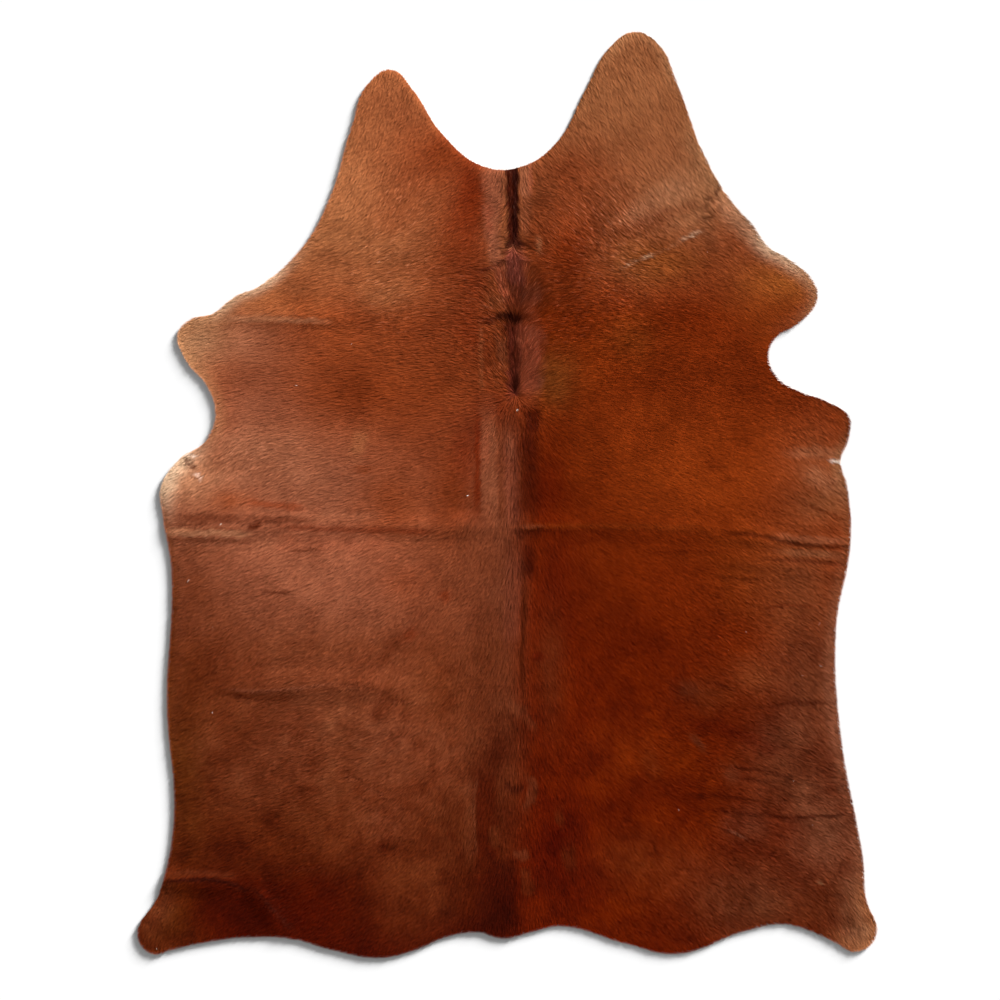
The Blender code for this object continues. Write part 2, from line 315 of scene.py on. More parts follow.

# Streaks of colour, each along a line of places x, y, x, y and so on. Their edges break up into tufts.
# taper is the length over which a streak fades out at its ends, soft is how far its edge spreads as a
# share of the half width, narrow is its width at the last place as a share of that at the first, and
# broken is how much it breaks up into single hairs.
# Many mark light and shade: the dark lines of creases, folds, wrinkles and ripples are painted shade, and the
# lit or light lips and sides beside them painted light, as the headings below say.
STROKES = table("name points half_width tint strength taper soft narrow broken", (
    # the crest of the neck
    ("left strip", (-3, 80, -3.1, 70, -3.3, 63, -2.8, 58, -2, 54), 2.8, "rose", 0.85, 2, 0.65, 0.4),
    ("its lit side", (-4.3, 69, -4.2, 61), 1, "blush", 0.5, 3, 0.9, 0.6),
    ("right strip", (4.2, 80, 4.3, 70), 1.3, "dusty", 0.6, 2),
    ("right strip, its bright edge", (5.5, 79, 5.5, 71), 0.5, "shell", 0.45, 2),
    ("right strip, lower", (4, 70, 4.1, 61), 1.2, "mauve", 0.4, 3, 0.5, 0.7),
    ("dark groove", (1.1, 80, 1.2, 70, 1.2, 60.5), 1.5, "umber", 0.95, 0, 0.35, 0.9),
    ("dark core", (2, 80, 1.9, 70, 1.7, 61), 0.7, "soot", 0.9, 0, 0.6),
    ("knot", (0.2, 59.6, 2.9, 59.3), 0.9, "soot", 0.9, 0),
    ("knot, right wing", (2.9, 59.4, 6.4, 59.2), 0.8, "umber", 0.5, 1.5),
    ("knot, left wing", (0.4, 61, -1.4, 61.4), 0.7, "umber", 0.5, 1),
    ("knot, below", (0, 59, -0.3, 56), 1, "umber", 0.65, 1.5),
    ("knot, lit tuft", (7.2, 61.5, 7.4, 57), 0.6, "fawn", 0.35, 2),
    ("thin dark line", (0.6, 55.6, -1.6, 54.7, -4, 53.6, -7, 52.8), 0.45, "umber", 0.7, 2),
    # the mane, down to the whorl at the withers
    ("upper", (2, 58.6, 1.6, 54, 2.4, 49), 1.7, "plum", 0.9, 2, 0.5, 1.3),
    ("middle", (1.8, 51, 2.4, 48, 1.9, 43), 2, "raisin", 0.5, 2, 0.5, 1.2),
    ("pink strand", (3.2, 58, 4, 55, 4, 52), 0.8, "blush", 0.45, 2),
    ("left edge", (-2, 54.6, -1.2, 50, -0.2, 45.5), 1.2, "blush", 0.7, 2, 0.5, 0.7),
    ("right fan", (5.4, 51, 5.4, 44), 2.4, "heather", 0.6),
    ("right fan, lit", (7.8, 47.5, 4.4, 44), 0.8, "blush", 0.3, 2),
    ("left fan", (-4.6, 47.5, -1, 43.6), 1.6, "sand", 0.15, 2),
    ("lower", (1.7, 41, 2, 34, 1.7, 28, 1.5, 22.5), 2.2, "raisin", 0.9, 2, 0.5, 0.6),
    ("pink band", (5.4, 41, 5.4, 36, 5.8, 30, 5.4, 23), 2.5, "blush", 0.88, 3, 0.7, 0.9),
    ("pink band, lit", (5.6, 40, 5.6, 36), 0.8, "blush", 0.5, 2),
    ("pink band, lit lower", (5.6, 32, 5.2, 24), 1.4, "blush", 0.6),
    ("lit tuft", (8, 33.6, 6.6, 30), 0.45, "shell", 0.6, 1.5),
    ("lit tuft lower", (8.4, 28.4, 7, 24), 0.9, "rose", 0.5, 2),
    ("left tufts", (-1.6, 38, -0.9, 30), 1.2, "mauve", 0.4),
    ("dark core", (2, 37, 2, 30), 0.8, "bole", 0.5),
    ("dark core, lower", (2.2, 28.6, 1.7, 25, 1.4, 22.4), 0.7, "soot", 0.75, 1.5),
    # painted shadow: the knot rows, the dark spot in the knot of the mane
    ("knot", (0.5, 42.1, 2.1, 41.4), 1.3, "soot", 0.95, 0),
    ("knot, left", (-1.7, 41.9, 0.6, 42), 0.9, "soot", 0.8, 0),
    ("knot, far left", (-6.4, 41, -3.4, 41.2, -1.6, 41.8), 0.8, "umber", 0.6, 2),
    ("knot, right", (2.2, 41.9, 5.8, 42.1), 0.9, "umber", 0.55, 2),
    ("knot, below", (0, 40.6, -0.6, 37.4), 0.8, "umber", 0.5, 2),
    ("left of the mane, faint line", (-6.2, 40, -6, 24), 0.5, "ginger", 0.3, 4),
    ("whorl, dark side", (5.2, 21.2, 5.8, 18, 5.6, 14), 1.9, "umber", 0.8, 2),
    # the back; where it meets the cross fold, its dark spot is painted shade and its light lip painted light
    ("left pale band", (-4.5, 22, -4.4, 8, -4.2, -8), 1.9, "mauve", 0.6, 9),
    ("left pale band, lit", (-5.2, 17, -5.2, 6), 0.9, "blush", 0.22, 5),
    ("grey band", (-1.1, 14, -1.2, 0, -1.2, -7), 0.9, "walnut", 0.5),
    ("pale strip", (0.6, 15, 1, 8, 1.2, 0, 1.2, -7.4), 1.6, "heather", 0.6, 4),
    ("pale strip, lit", (0.4, 14, 0.8, 8), 0.7, "rose", 0.3, 2),
    ("dark strip", (4.4, 17, 4.9, 8, 4.7, -7.2), 2.7, "umber", 0.85, 5, 0.8),
    ("dark strip, core", (4.2, 7, 6.6, 5.4), 1, "soot", 0.35, 2),
    ("dark line on the left", (-6.9, 20, -7, 4, -7.2, -5), 0.7, "henna", 0.7, 6),
    ("dark spot by the cross fold", (2.9, -9, 6.9, -9), 1.1, "soot", 0.6, 0),
    ("light lip of the cross fold", (2.6, -7.6, 9, -7.6), 0.35, "mauve", 0.4, 2),
    ("dark strip below the fold", (4.9, -9, 5, -21), 1.9, "umber", 0.8, 5, 0.9, 0.7),
    ("dark strip, its foot", (4.2, -15.6, 5.2, -19.4), 1.2, "soot", 0.4, 2),
    ("pale strip below the fold", (2, -14, 1.2, -24, 0.8, -36), 1.8, "heather", 0.35, 5),
    ("seam", (4.1, -21, 3.8, -30, 3.5, -38, 3.3, -46), 0.8, "bole", 0.75, 3, 0.5, 0.5),
    # the loin
    ("dark fleck", (5.4, -38.2, 9.2, -38.6), 0.9, "maroon", 0.6, 1.5),
    ("pale fleck", (1.2, -50, 3, -51.5), 1.2, "cocoa", 0.5, 0),
    ("pale fleck lower", (4.2, -52, 6.2, -56), 1.1, "cocoa", 0.45, 1.5),
    ("dark centre", (-1.8, -55, -2, -66), 3, "umber", 0.5, 4, 0.9),
    # the rump and the tail; the dark and lit sides and the lit edge of the rump's fold, and its small dark
    # crease, are painted shade and painted light
    ("dark side of the fold", (-5.4, -64, -5.2, -80, -4.6, -90), 2.6, "umber", 0.75, 6, 0.5, 1.2),
    ("lit side of the fold", (-8.6, -66, -9.2, -76, -8.8, -88), 1.2, "cocoa", 0.2, 4, 0.9),
    ("lit edge of the fold", (-6.9, -66, -8, -75, -7.3, -86), 0.3, "cocoa", 0.25),
    ("small dark crease", (0.2, -69.6, 1.6, -70.2, 3.4, -70), 0.8, "soot", 0.55, 0),
    ("light arc", (4.6, -67, 6, -69.4, 4.4, -75), 1, "cocoa", 0.5, 2),
    ("pale fleck", (2.8, -85.6, 4.4, -86), 1.1, "cocoa", 0.45, 0),
    ("pale fleck lower", (4.2, -90, 5, -94), 1.3, "walnut", 0.5, 0),
    ("pale fleck on the left", (-3.2, -80, -3, -83), 1.1, "walnut", 0.5, 0),
    ("tail, dark middle", (0.6, -86, 0.4, -106), 1.6, "soot", 0.35),
    ("tail, dark left side", (-4.6, -92, -4.8, -106), 3.2, "soot", 0.4, 4),
    ("dark blotch", (-14.2, -97.6, -14.8, -101), 2.2, "soot", 0.55, 2),
    ("small blotch", (-13.6, -81, -12.6, -81.4), 1, "umber", 0.45, 0),
    ("small blotch above", (-15, -78.4, -14, -78.6), 0.8, "umber", 0.35, 0),
    ("pale streak", (12, -75, 12.6, -79), 1, "walnut", 0.5, 2),
    ("pale streak lower", (14.2, -83, 15.4, -90), 1.6, "walnut", 0.45),
    # the left shoulder; the light line and the faint line of its fold are painted light and painted shade
    ("light fold line", (-71, 42, -56, 41.6, -42, 41), 0.8, "oat", 0.4, 6, 0.8, 0.7),
    ("warm band", (-62, 45.5, -44, 45), 2.4, "amber", 0.35, 6, 0.9),
    ("faint line of the fold", (-50, 40.2, -38, 40), 0.4, "walnut", 0.3),
    ("arm, pale fleck", (-34, 15, -36.5, 8.5), 1.6, "sand", 0.4, 2, 0.8),
    ("arm, dark fleck", (-36.5, 5.8, -32, 5.6), 0.9, "chestnut", 0.5, 1.5),
    ("dark reach", (-42, 25, -33, 21), 3, "chestnut", 0.4, 4, 0.9),
    # the right side of the neck, with its scar and its pucker; the pucker's dark side and arcs are painted
    # shade
    ("pale band", (27, 64, 36, 70, 45, 75), 2.4, "oat", 0.35, 5, 0.9, 1.3),
    ("dark band", (24, 61, 36, 66, 47, 70), 1.6, "chestnut", 0.4, 4, 0.9),
    ("scar of pale hairs", (26.9, 54, 32, 56), 0.5, "cream", 0.5, 2, 0.6, 1, 0.9),
    ("scar, its bright part", (31.6, 55.9, 34.8, 56.9), 0.5, "cream", 0.95, 1, 0.6, 1, 0.7),
    ("scar, its thin part", (35, 57, 41, 60), 0.45, "cream", 0.2, 2, 0.6, 1, 0.9),
    ("scar, its far part", (41, 60.4, 46, 62.7), 0.5, "cream", 0.85, 1.5, 0.6, 1, 0.75),
    ("pale wedge at the edge", (50.4, 71, 54, 65.5, 60, 60.5), 2.2, "oat", 0.7, 3, 0.8, 1, 0.3),
    ("pucker, its dark side", (46.6, 70, 49.2, 71, 50.4, 73.6), 0.3, "umber", 0.6, 1),
    ("pucker, its arcs", (44.5, 65.4, 48.4, 66, 50.2, 68.4), 0.3, "umber", 0.45, 1),
    ("pucker, inner arc", (45.4, 67.8, 48, 68.4), 0.3, "umber", 0.35, 1),
    # the cross fold: its dark lines, bands, step, knot and the shade under the step are painted shade of its
    # grooves, and its light reach, light strip, lips and lit hairs painted light on its ridges; the warm
    # lines are the hair's own
    ("its warm line", (-55, -7.6, -46, -8.2, -30, -8.6, -16, -9), 0.7, "henna", 0.5, 6, 0.8),
    ("light reach below it", (-57, -11.2, -40, -11.4, -26, -11.6), 1.9, "shell", 0.3, 5, 0.9),
    ("dark band above", (-80, -5.3, -70, -5.6, -61, -6), 1.1, "bole", 0.65, 5, 0.8),
    ("dark band beyond the knot", (-61, -6, -54, -6.1, -45, -6.5), 0.9, "bole", 0.6, 4, 0.8, 0.7),
    ("thin dark line", (-81, -7.3, -75, -7.2, -70, -6.9), 0.3, "bole", 0.5, 2),
    ("thin dark line lower", (-73, -8.4, -68, -8, -63, -8.3), 0.25, "walnut", 0.4, 2),
    ("light strip", (-81, -9.2, -70, -9.2, -61, -9.5), 0.8, "oat", 0.5, 3, 0.5, 0.9),
    ("dark step", (-81, -11, -70, -11, -60.5, -11.4), 0.6, "bole", 0.4, 4, 0.6, 0.8),
    ("shade under the step", (-80, -13.4, -63, -13.4), 2.4, "cocoa", 0.3, 6, 0.9),
    ("lit hairs below", (-59, -12.6, -54, -10.8), 1.2, "dusty", 0.5, 2, 0.9, 1, 0.5),
    ("dark knot", (-60.6, -6.6, -59.4, -8.4), 1.9, "bole", 0.9, 1, 0.7, 0.8),
    ("small line below", (-52, -13.6, -48, -13.5, -43.5, -12.9), 0.35, "bole", 0.5, 2),
    ("flank, small line", (-58.4, -23, -55, -23.3, -51, -23.2), 0.4, "bole", 0.6, 2),
    ("warm line above", (-62, -1.8, -55, -2.6, -48, -3.2), 0.8, "rust", 0.5, 3, 0.8),
    ("pale lip", (-48, -5, -30, -5.4), 1, "dusty", 0.4, 5, 0.9),
    ("right half, light lip", (3, -7.7, 25, -7.6, 47, -8), 0.6, "amber", 0.25, 6, 0.8),
    ("right half, dark band", (4, -10.2, 25, -10.4, 48, -11), 1.8, "henna", 0.45, 6, 0.9),
    ("right half, faint line", (30, -13.6, 54, -13.7), 0.35, "henna", 0.4, 6),
    # the wrinkles and spots of the right flank; the wrinkles' dark lines are painted shade in them and their
    # lit strip and side painted light
    ("wrinkle, its lit strip", (63, -10, 72, -10.8, 81, -11.2), 0.8, "oat", 0.2, 4, 0.8),
    ("wrinkle", (51, -9, 60, -9.8, 67, -11.6, 74, -12.3, 81.5, -12.6), 0.45, "umber", 0.35, 6, 0.5, 1.4),
    ("next wrinkle, its lit side", (64, -13.8, 80, -14.6), 0.8, "fawn", 0.25, 5, 0.8),
    ("next wrinkle", (60, -15.5, 70, -15.8, 76, -16.4, 81, -17), 0.4, "umber", 0.35, 6, 0.5, 1.3),
    ("third wrinkle", (49, -19.7, 56, -20.2, 62, -19.9), 0.3, "umber", 0.3, 4),
    ("fourth wrinkle", (60, -27.4, 66, -26.4, 74, -26.8), 0.35, "henna", 0.4),
    ("wrinkle under the elbow", (68, -1.5, 75, -4, 81, -6.8), 0.35, "chestnut", 0.5, 4),
    ("dark line", (60, -50.4, 70, -49.6, 78.5, -49.4), 0.6, "umber", 0.45, 4, 0.8),
    ("pale spot", (40, -46, 46, -46.6), 1.8, "cocoa", 0.45, 2, 0.9),
    ("small dark line", (49, -44.8, 53, -46.2), 0.4, "umber", 0.5, 1),
    ("thigh, pale streak", (43, -57, 47, -61), 0.8, "cocoa", 0.45, 2, 0.8),
    ("thigh, pale spot", (51.5, -65, 55, -68), 2, "cocoa", 0.45, 2, 0.9),
    ("thigh, pale spot, inner", (33, -60, 35, -68), 1.8, "chestnut", 0.4, 3, 0.9),
    ("thigh, dark band", (42, -54, 52, -56, 66, -62), 1.6, "maroon", 0.45, 5, 0.9),
    # the left flank, loin, thigh and hind leg; the lit ridge and the dark under it, the dark creases, and the
    # hind leg's crease with its branch and lit lip are painted light and painted shade
    ("flank, red fleck", (-16, -24.6, -13.4, -24), 1.2, "henna", 0.5, 1, 0.8),
    ("flank, red fleck lower", (-24.6, -34.6, -21.6, -32.4), 1.2, "henna", 0.4, 1, 0.8),
    ("flank, lit ridge", (-66, -46.4, -58, -46.8, -50, -46.1, -40, -44.8), 0.4, "rose", 0.4, 6, 0.8, 1, 0.5),
    ("flank, dark under the ridge", (-70, -46.6, -62, -48.1, -56, -48.6, -49, -48),
     0.8, "bole", 0.4, 6, 0.9, 0.8),
    ("flank, dark crease", (-65, -47.4, -60.5, -48.6), 0.4, "umber", 0.5, 2),
    ("flank, dark end", (-40, -45.6, -34, -44.9), 0.6, "bole", 0.2, 2),
    ("loin, faint line", (-31, -48.6, -20, -48.9), 0.4, "bole", 0.4),
    ("loin, dark spot", (-31, -50, -30.6, -54.5), 1.3, "bole", 0.5, 2, 0.8),
    ("loin, dark edge", (-32, -42, -24, -32), 1.2, "bole", 0.4, 4, 0.9),
    ("flank, small dark spot", (-51, -51.6, -49, -52), 1, "umber", 0.35, 1.5, 0.9),
    ("thigh, dark spot above", (-47, -64, -42, -66), 1.7, "bole", 0.4, 2, 0.9),
    ("thigh, small dark reach", (-51, -72, -44, -76), 1.6, "bole", 0.45, 3, 0.9),
    ("thigh, dark line", (-54, -88.9, -49, -88.7, -42, -88), 0.6, "umber", 0.4, 3, 0.8, 0.6),
    ("thigh, dark crease", (-30, -82.6, -28.8, -85.4), 0.7, "umber", 0.5, 1),
    ("thigh, slanting line", (-39, -65, -33, -69, -28, -71), 0.5, "bole", 0.4, 3, 0.8),
    ("hind leg, lit lip of the crease", (-80, -90.4, -73, -90, -64, -90.8), 0.7, "cocoa", 0.25, 4, 0.9),
    ("hind leg, crease", (-82, -92.2, -76, -91.6, -70, -91.6, -65.5, -92.5, -61.5, -94.6),
     0.5, "soot", 0.8, 2),
    ("hind leg, crease, its branch", (-61.5, -92.4, -57.5, -96.6, -53.6, -100.6, -50.4, -104),
     0.45, "soot", 0.6),
    # the right haunch: its lines are painted shade in its ripples, and its lit hairs painted light
    ("top line", (50, -64.6, 60, -65.6, 68, -67.4), 0.3, "umber", 0.4, 5),
    ("second line", (54, -67.4, 62, -68.4), 0.25, "umber", 0.35),
    ("dark reach", (41, -71.6, 50, -71.8, 60, -73), 0.9, "umber", 0.45, 6, 0.8, 0.5),
    ("third line", (44, -74.6, 54, -75.6, 62, -76.4), 0.3, "umber", 0.35, 4),
    ("its long line", (60, -75.6, 66, -76.8, 74, -76.6, 81, -75.8), 0.4, "umber", 0.65, 5),
    ("fourth line", (46, -78, 54, -80.6, 60, -83.2), 0.35, "umber", 0.35, 4),
    ("fifth line", (60, -79.4, 68, -82.4), 0.35, "umber", 0.3),
    ("lit hairs", (52, -79.6, 57, -82), 0.3, "rose", 0.5, 2),
    ("hind leg, dark fleck", (56.8, -95, 59.4, -92.4), 0.7, "umber", 0.5, 1.5, 0.8),
    ("hind leg, dark fleck above", (61, -86.4, 64, -84.8), 0.6, "umber", 0.4, 1.5, 0.8),
    ("hind leg, small tan spot", (74, -92.2, 74.6, -92.6), 0.5, "fawn", 0.6, 0),
    # the elbows; the left elbow's dark crease is painted shade
    ("left elbow, cream edge", (-80, 0, -80.6, 4, -78, 7.6), 1.8, "cream", 0.6, 2, 0.9),
    ("left elbow, dark crease", (-76.8, 8.8, -75.6, 7.2, -73.8, 5.8), 0.4, "bole", 0.85, 1),
    ("left elbow, upper nick", (-76, 9.4, -74.2, 9), 0.22, "lint", 0.6, 0, 0.5, 1, 0.5),
    ("left elbow, lower nick", (-74.6, 4.9, -73.2, 4.4, -72.6, 3), 0.22, "lint", 0.6, 1, 0.6, 1, 0.5),
    ("right elbow, pale fan above", (66, 9.6, 73, 9.8, 80, 9.4), 1, "oat", 0.35, 5, 0.9, 1.6, 0.4),
    ("right elbow, pale fan below", (70, 6, 75, 3.4, 80, 0.6), 1.8, "oat", 0.4, 4, 0.9, 1.4, 0.4),
    ("right elbow nick", (76.4, 7.8, 79.5, 7.8), 0.3, "lint", 0.8, 1),
), defaults=(3, 0.5, 1, 0))

# Fine creases, each along a line of places, besides the main folds in the CAD solid. Their height is in
# millimetres, and a negative one is a trough. shade is how much darker the coat parts over it.
CREASES = table("name points half_width height shade taper", (
    ("cross fold, worn flatter on the left", (-84, -8.5, -42, -8, -1, -7.5), 2.4, -1.4, 0, 6),
    ("cross fold, upper lip", (-80, -5, -62, -5.2, -45, -5.6), 1.4, 0.6),
    ("cross fold, lower lip", (-81, -10.8, -62, -11), 0.8, -0.2),
    ("cross fold, its groove on the right", (3, -8.8, 25, -8.6, 50, -9.2), 1.1, -0.8, 0.1),
    ("wrinkle", (50, -9, 60, -9.8, 67, -11.6, 74, -12.3, 82, -12.6), 0.6, -1.6, 0.2),
    ("next wrinkle", (60, -15.5, 70, -15.8, 82, -17), 0.6, -1.4, 0.2),
    ("third wrinkle", (49, -19.7, 56, -20.2, 62, -19.9), 0.5, -0.8, 0.2),
    ("fourth wrinkle", (60, -27.4, 66, -26.4, 74, -26.8), 0.6, -0.6, 0.1),
    ("left flank, faint wrinkle", (-54, -13.8, -38, -14.4, -20, -13.4), 1, -0.5),
    ("left flank, ridge", (-68, -46.6, -58, -46.9, -47, -46), 0.8, 0.5),
    ("left flank, low wrinkle", (-56, -54, -47, -54.6, -38, -53), 1.2, 0.4),
    ("fold left of the back", (-7, 26, -7, -6), 1, -1, 0.1),
    ("fold of the loin", (-7.4, -52, -7.6, -106), 1.4, 0.5),
    ("right neck pucker", (50.6, 73.4, 49.6, 72.2, 50.6, 68.6, 50.2, 66), 0.5, -1.6, 0.3, 1),
    ("right haunch ripple", (62, -77, 74, -76.6, 84, -75.8), 0.6, -0.9),
    ("right haunch ripple, upper", (55, -62, 80, -64), 1.6, 0.9),
    ("seam of the back", (3.4, -14, 3.6, -66), 0.7, -0.8, 0.1),
), defaults=(0, 3))

# Places where the single hairs show more than the plain grain, or less where the change is negative.
PLAIN_GRAIN = 0.42
GRAINS = table("name x y reach_x reach_y change", (
    ("left shoulder", -26, 46, 18, 16, 0.25),
    ("right shoulder", 24, 46, 14, 18, 0.25),
    ("withers", 2, 40, 12, 24, 0.3),
    ("right of the neck", 24, 66, 14, 12, 0.3),
    ("left foreleg", -62, 32, 14, 14, -0.25),
    ("left ribs", -62, 8, 12, 8, 0.25),
    ("right foreleg", 62, 42, 14, 12, -0.35),
    ("left of the neck", -26, 70, 16, 16, 0.2),
    ("left rear", -40, -56, 36, 44, 0.15),
    ("right ribs", 42, 8, 30, 20, -0.35),
    ("right loin", 24, -24, 26, 40, -0.27),
    ("right rump", 24, -80, 20, 24, -0.2),
    ("left of the back", -21, 15, 13, 15, -0.22),
    ("left neck flap", -29, 88, 12, 12, -0.12),
    ("right neck flap", 33, 90, 14, 13, -0.15),
    ("right of the back", 25, 16, 12, 14, -0.18),
))

# Which way the hair points at places on the right half. out is the distance from the spine, and heading
# is in degrees, 0 to the right and 90 towards the neck. The left half is the mirror image.
COMBS = table("name out y heading reach", (
    ("crest of the neck", 0, 74, -90, 3),
    ("beside the crest", 6, 70, -20, 4),
    ("side of the neck", 17, 72, -40, 9),
    ("root of the neck flap", 28, 76, -52, 10),
    ("neck flap", 29, 96, -60, 14),
    ("knot of the neck", 2, 60, -10, 2),
    ("mane", 0, 50, 90, 3),
    ("mane above the whorl", 0, 34, 90, 3),
    ("beside the mane", 5, 46, 52, 3),
    ("beside the mane, lower", 5, 32, 55, 3),
    ("fountain", 12, 46, 10, 6),
    ("fountain, lower", 12, 32, 14, 6),
    ("shoulder blade", 26, 50, -22, 9),
    ("shoulder", 30, 34, -2, 10),
    ("point of the shoulder", 54, 44, -28, 12),
    ("upper arm", 52, 26, -8, 12),
    ("whorl", 0, 14, -90, 3),
    ("back", 0, -10, -90, 3),
    ("beside the back", 6, 8, -48, 4),
    ("beside the back, lower", 8, -14, -58, 5),
    ("ribs", 32, 8, -16, 12),
    ("elbow", 72, 8, -38, 10),
    ("flank", 45, -18, -32, 14),
    ("loin crest", 0, -50, -90, 3),
    ("loin", 10, -42, -66, 6),
    ("loin, outer", 28, -40, -44, 12),
    ("belly edge", 74, -44, -38, 12),
    ("thigh", 52, -62, -24, 14),
    ("rump crest", 0, -92, -90, 4),
    ("rump, inner", 12, -84, -70, 7),
    ("rump", 34, -86, -44, 12),
    ("haunch", 66, -84, -30, 12),
    ("hind leg", 82, -102, -55, 8),
))

# Where the coat differs from the rest: its hair's length and lift, as shares of the usual ones.
COATS = table("name x y reach_x reach_y length lift", (
    ("mane", 2.5, 42, 5, 28, 1.35, 1.5),
    ("crest of the neck", 2, 72, 4, 14, 1.2, 1.4),
    ("back", 2.5, -10, 4, 24, 1.2, 1.3),
    ("right belly edge", 80, -50, 8, 30, 1.25, 1.2),
    ("left belly edge", -78, -50, 8, 30, 1.15, 1.1),
    ("right elbow", 80, 4, 7, 7, 1.25, 1.3),
    ("left forearm", -70, 8, 14, 12, 1.15, 1.2),
    ("right neck edge", 54, 66, 8, 10, 1.2, 1.3),
    ("haunches", 0, -95, 70, 10, 0.85, 0.8),
))

# Specks of lint on the hair. Their hairs are shorter and stand higher.
LINT_REACH = 1.6 * MM
LINT_LENGTH = 0.25
LINT_LIFT = 1.4
LINT = (
    (-30.2, 55.1), (-36.9, 35.8), (-50.0, 25.8), (47.3, 57.5), (56.6, -32.7), (52.3, -37.0), (74.0, -30.6),
    (74.2, -40.8), (69.9, -43.2), (2.4, 20.2), (-9.1, -0.1), (-67.9, -7.1), (-75.6, -20.5), (-70, -31.5),
    (-69.8, -51.8), (-80.2, -56), (67.9, -68.1), (72.2, -78.4), (40.6, -75), (-83.4, -107.8),
)


# ---- noise, in which each call's seed gives it a field of its own

def lattice(ix, iy, seed):
    """A repeatable random number from 0 to 1 for each point of a lattice, from an integer hash."""
    with np.errstate(over="ignore"):
        h = ix.astype(np.uint32) * np.uint32(374761393) + iy.astype(np.uint32) * np.uint32(668265263)
        h = h + np.uint32(seed) * np.uint32(2246822519)
        for shift, factor in ((13, 1274126177), (15, 2654435761)):
            h = (h ^ (h >> np.uint32(shift))) * np.uint32(factor)
    return ((h ^ (h >> np.uint32(16))) & np.uint32(0xFFFF)).astype(np.float32) / 65535.0


def noise(x, y, size, seed):
    """Smooth noise from -1 to 1 whose spots are about size across."""
    u, v = x / size, y / size
    iu, iv = np.floor(u).astype(np.int64), np.floor(v).astype(np.int64)
    fu, fv = smooth((u - iu).astype(np.float32)), smooth((v - iv).astype(np.float32))
    low, high = (lattice(iu, row, seed) * (1 - fu) + lattice(iu + 1, row, seed) * fu for row in (iv, iv + 1))
    return 2 * (low * (1 - fv) + high * fv) - 1


def layered(x, y, size, seed, layers=3):
    """Noise with finer and weaker noise added to it."""
    total = 0.0
    for k in range(layers):
        total = total + noise(x, y, size / 2**k, seed + k) * 0.5**k
    return total / (2 - 0.5 ** (layers - 1))


def combed(x, y, heading, size, length, seed):
    """Noise drawn out along the hair: the mean of fine noise at steps along each hair's own line."""
    steps = np.linspace(-0.5, 0.5, 7) * length
    total = 0.0
    for step in steps:
        total = total + noise(x + step * np.cos(heading), y + step * np.sin(heading), size, seed)
    return total / len(steps) * 2.2  # the mean of several is weaker than one


def smooth(t):
    """Eases from 0 to 1."""
    t = np.clip(t, 0, 1)
    return t * t * (3 - 2 * t)


# ---- the hide's maps

def hide_triangles():
    """The CAD solid's vertices and triangles."""
    mesh = HIDE.data
    mesh.calc_loop_triangles()
    places = np.array([vertex.co[:] for vertex in mesh.vertices])
    return places, np.array([triangle.vertices[:] for triangle in mesh.loop_triangles])


def edge_loop(places, triangles):
    """The outline of the hide, as its side walls meet its underside, in order round the hide."""
    rough = np.round(places / (0.01 * MM)).astype(np.int64)  # vertices at one place become one
    _, first, merged = np.unique(rough, axis=0, return_index=True, return_inverse=True)
    triangles = merged.reshape(-1)[triangles]
    places = places[first]
    a, b, c = (places[triangles[:, k]] for k in range(3))
    normal = np.cross(b - a, c - a)
    normal /= np.maximum(np.linalg.norm(normal, axis=1, keepdims=True), 1e-12)
    wall_sides, underside_sides = (
        {tuple(sorted(side)) for k in range(3) for side in triangles[faces][:, [k, k - 1]].tolist()}
        for faces in (np.abs(normal[:, 2]) < 0.5, normal[:, 2] < -0.5)
    )
    follows = {}
    for p, q in sorted(wall_sides & underside_sides, reverse=True):  # sorted, so the walk is always the same
        follows.setdefault(p, []).append(q)
        follows.setdefault(q, []).append(p)
    loop = [min(follows)]
    while len(loop) <= len(follows):
        here = next(n for n in follows[loop[-1]] if n not in loop[-2:-1])
        if here == loop[0]:
            break
        loop.append(here)
    return places[loop, :2]


def rounded(loop, steps=4):
    """A smooth closed curve through the outline's corners, which stand centimetres apart."""
    before, after, beyond = (np.roll(loop, shift, axis=0) for shift in (1, -1, -2))
    gap = [np.sqrt(np.linalg.norm(b - a, axis=1, keepdims=True))
           for a, b in ((before, loop), (loop, after), (after, beyond))]
    side = after - loop
    leaving = side + gap[1] * ((loop - before) / gap[0] - (after - before) / (gap[0] + gap[1]))
    arriving = side + gap[1] * ((beyond - after) / gap[2] - (beyond - loop) / (gap[1] + gap[2]))
    run = []
    for t in np.arange(steps) / steps:
        run.append(loop + t * leaving + t**2 * (3 * side - 2 * leaving - arriving)
                   + t**3 * (leaving + arriving - 2 * side))
    return np.stack(run, axis=1).reshape(-1, 2)


